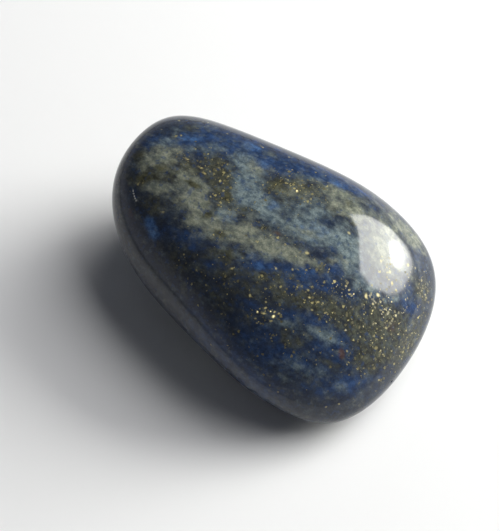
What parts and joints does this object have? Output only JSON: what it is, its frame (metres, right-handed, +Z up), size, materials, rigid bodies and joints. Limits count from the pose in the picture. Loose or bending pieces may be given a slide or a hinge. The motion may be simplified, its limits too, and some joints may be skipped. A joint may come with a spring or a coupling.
{
  "type": "tumbled lapis lazuli stone",
  "caption": "Tumbled and polished lapis lazuli: a rounded, tapered pebble of deep blue stone with grey calcite clouds and pyrite specks, lying on a small flat.",
  "frame": {"origin": "on the surface that the stone rests on, under the middle of its bounding box", "axes": "+X along the stone's length towards its wide end, +Y across it towards the straighter far side, +Z up"},
  "size_m": [0.0316, 0.0218, 0.0133],
  "materials": {
    "lapis_stone": "polished"
  },
  "bodies": {
    "root": {"lapis_stone": "lapis_stone"}
  },
  "joints": []
}
